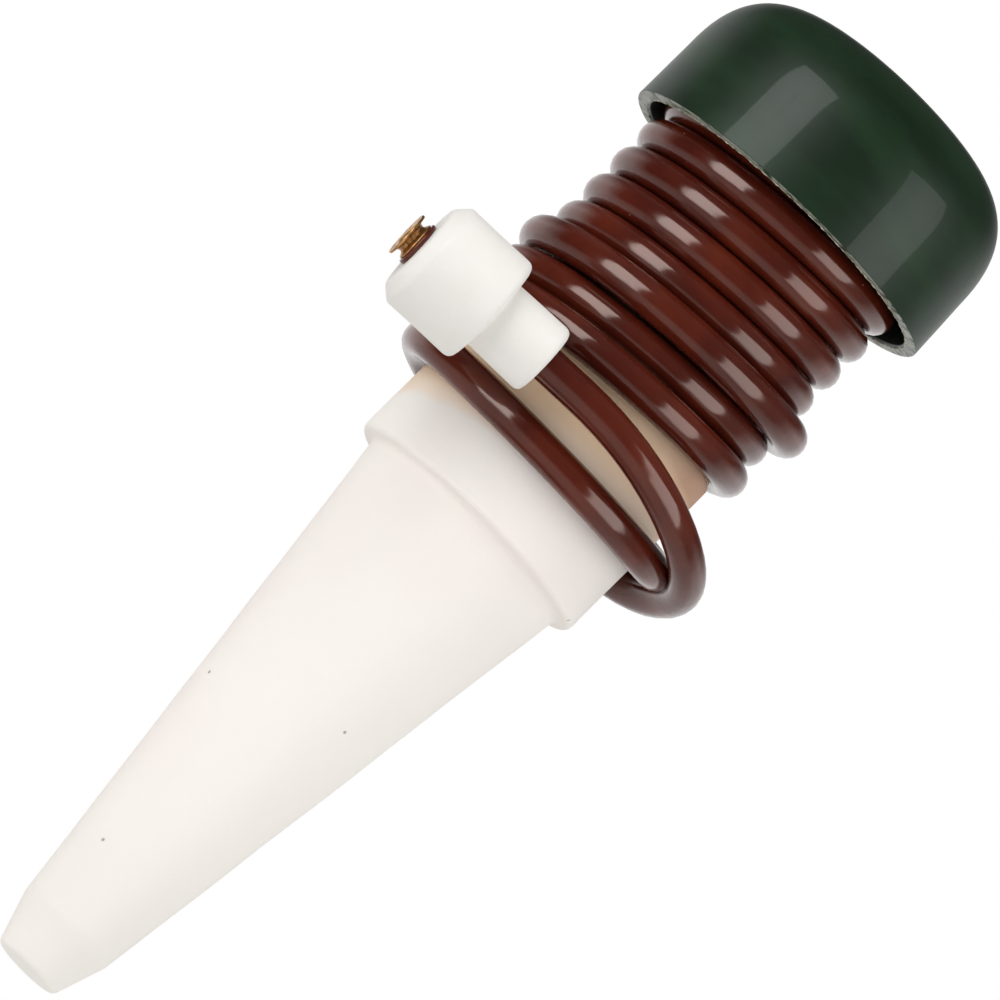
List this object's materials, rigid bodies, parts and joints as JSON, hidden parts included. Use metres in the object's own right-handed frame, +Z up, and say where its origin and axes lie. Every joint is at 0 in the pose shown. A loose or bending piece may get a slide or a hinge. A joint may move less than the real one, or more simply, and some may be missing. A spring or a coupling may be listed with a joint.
{
  "type": "self watering spike",
  "caption": "Hollow fired clay cone with a screwed spool head; a wound hose with a sinker and an end eyelet draws water from a jar into the soil.",
  "frame": {"origin": "centre of the collar's lower shoulder, where the cone begins and the soil's surface lies in use", "axes": "+Z up along the spike's axis towards the cap, +X to the right as seen from the front, the side with the sinker; the hose port opens at the back, on the +Y side"},
  "size_m": [0.0537, 0.0528, 0.1403],
  "materials": {
    "fired_clay": "matte unglazed fired clay",
    "bushing_resin": "amber brown moulded resin",
    "washer_rubber": "soft black rubber",
    "hose_vinyl": "glossy translucent brown vinyl",
    "sinker_glaze": "white matte ceramic",
    "eyelet_brass": "worn brass",
    "green_plastic": "dark green glossy moulded plastic"
  },
  "bodies": {
    "spike": {"ceramic_spike": "fired_clay", "neck_bushing": "bushing_resin"},
    "seal": {"sealing_washer": "washer_rubber"},
    "head": {"cap_shell": "green_plastic", "spool_plug": "green_plastic", "hose_grommet": "washer_rubber", "hose_winding": "hose_vinyl", "hose_tail": "hose_vinyl", "end_eyelet": "eyelet_brass"},
    "weight": {"sinker": "sinker_glaze"}
  },
  "joints": [
    {"name": "cap_rise", "type": "slide", "parent": "spike", "child": "seal", "axis": [0, 0, 1], "range_m": [0, 0.0075]},
    {"name": "cap_turn", "type": "hinge", "parent": "seal", "child": "head", "pos_m": [0, 0, 0.0238], "axis": [0, 0, 1], "range_deg": [0, 900]},
    {"name": "sinker_slide", "type": "slide", "parent": "head", "child": "weight", "axis": [0.9956, 0.0796, 0.0498], "range_m": [0, 0.003]}
  ],
  "couplings": [
    {"joint": "cap_rise", "follows": "cap_turn", "m_per_rad": 0.00047746}
  ]
}
